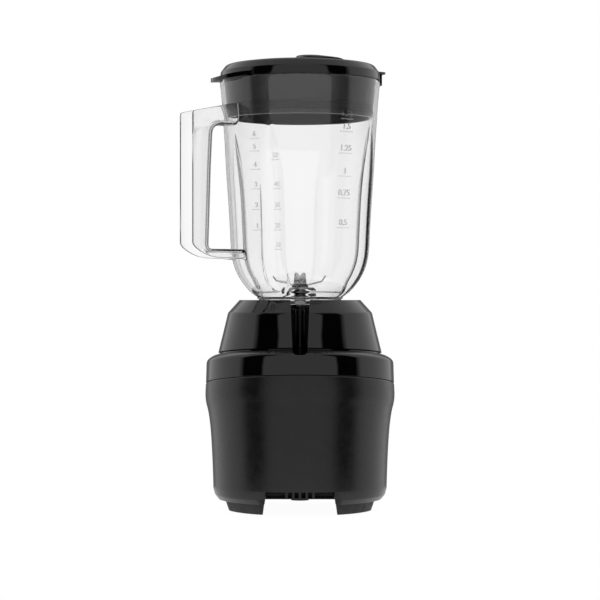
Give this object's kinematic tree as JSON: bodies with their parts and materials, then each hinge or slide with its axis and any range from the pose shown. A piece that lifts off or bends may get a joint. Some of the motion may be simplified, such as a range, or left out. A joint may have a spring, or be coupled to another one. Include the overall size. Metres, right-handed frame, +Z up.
{
  "type": "countertop blender",
  "caption": "Countertop blender: round tapered motor base with a drain slot, clear fluted jug with a squared handle, blade set, flat lid and filler cap.",
  "frame": {"origin": "on the spindle axis, in the flat underside of the bottom cover, 14 mm above the counter", "axes": "+Z up along the spindle axis, -Y towards the drain slot at the back of the base, +Y towards the control knob; the handle points 27 degrees round from -X towards -Y"},
  "size_m": [0.1916, 0.189, 0.4086],
  "materials": {
    "satin_black": "fine satin moulded plastic",
    "gloss_black": "polished moulded plastic",
    "clear": "clear moulded copolyester",
    "rubber": "matt moulded rubber",
    "blade_steel": "ground stainless steel",
    "steel": "turned steel",
    "laminations": "stacked electrical steel",
    "copper": "enamelled copper wire",
    "aluminium": "die cast",
    "carbon": "pressed carbon",
    "brass": "turned brass",
    "nylon": "natural nylon",
    "board": "green solder mask"
  },
  "bodies": {
    "base": {"base_housing": "satin_black", "glossy_band": "gloss_black", "jug_collar": "gloss_black", "jug_seat_ring": "rubber", "bottom_cover": "satin_black", "cord_gland": "rubber", "foot_back_left": "rubber", "foot_back_right": "rubber", "foot_front_right": "rubber", "foot_front_left": "rubber", "base_screw_1": "steel", "base_screw_2": "steel", "base_screw_3": "steel", "base_screw_4": "steel", "dial_plate": "gloss_black", "motor_stator": "laminations", "field_coil_left": "copper", "field_coil_right": "copper", "upper_bracket": "aluminium", "lower_bracket": "aluminium", "upper_bearing": "steel", "lower_bearing": "steel", "motor_mount_left": "rubber", "motor_mount_right": "rubber", "motor_mount_front": "rubber", "motor_mount_back": "rubber", "brush_holder_front": "nylon", "brush_holder_back": "nylon", "carbon_brush_front": "carbon", "carbon_brush_back": "carbon", "switch_body": "nylon", "speed_board": "board"},
    "rotor": {"motor_shaft": "steel", "armature": "laminations", "commutator": "copper", "cooling_fan": "nylon", "drive_socket": "satin_black"},
    "knob": {"control_knob": "gloss_black", "knob_spindle": "nylon"},
    "jug": {"jug_body": "clear", "jug_handle": "clear", "bearing_housing": "steel", "bearing_gasket": "rubber", "bearing_nut": "steel", "shaft_bush": "brass"},
    "blades": {"blade_shaft": "steel", "lower_blade": "blade_steel", "middle_blade": "blade_steel", "upper_blade": "blade_steel", "blade_nut": "steel"},
    "lid": {"lid": "gloss_black", "lid_seal": "rubber"},
    "cap": {"filler_cap": "gloss_black"}
  },
  "joints": [
    {"name": "rotor_spin", "type": "hinge", "parent": "base", "child": "rotor", "pos_m": [0, 0, 0.06], "axis": [0, 0, 1], "continuous": true},
    {"name": "knob_turn", "type": "hinge", "parent": "base", "child": "knob", "pos_m": [0, 0.086, 0.056], "axis": [0, -1, 0], "range_deg": [-45, 90]},
    {"name": "jug_lift", "type": "slide", "parent": "base", "child": "jug", "axis": [0, 0, 1], "range_m": [0, 0.06]},
    {"name": "blade_spin", "type": "hinge", "parent": "jug", "child": "blades", "pos_m": [0, 0, 0.185], "axis": [0, 0, 1], "continuous": true},
    {"name": "lid_lift", "type": "slide", "parent": "jug", "child": "lid", "axis": [0, 0, 1], "range_m": [0, 0.05]},
    {"name": "cap_lift", "type": "slide", "parent": "lid", "child": "cap", "axis": [0, 0, 1], "range_m": [0, 0.04]}
  ],
  "couplings": [
    {"joint": "blade_spin", "follows": "rotor_spin", "ratio": 1}
  ]
}
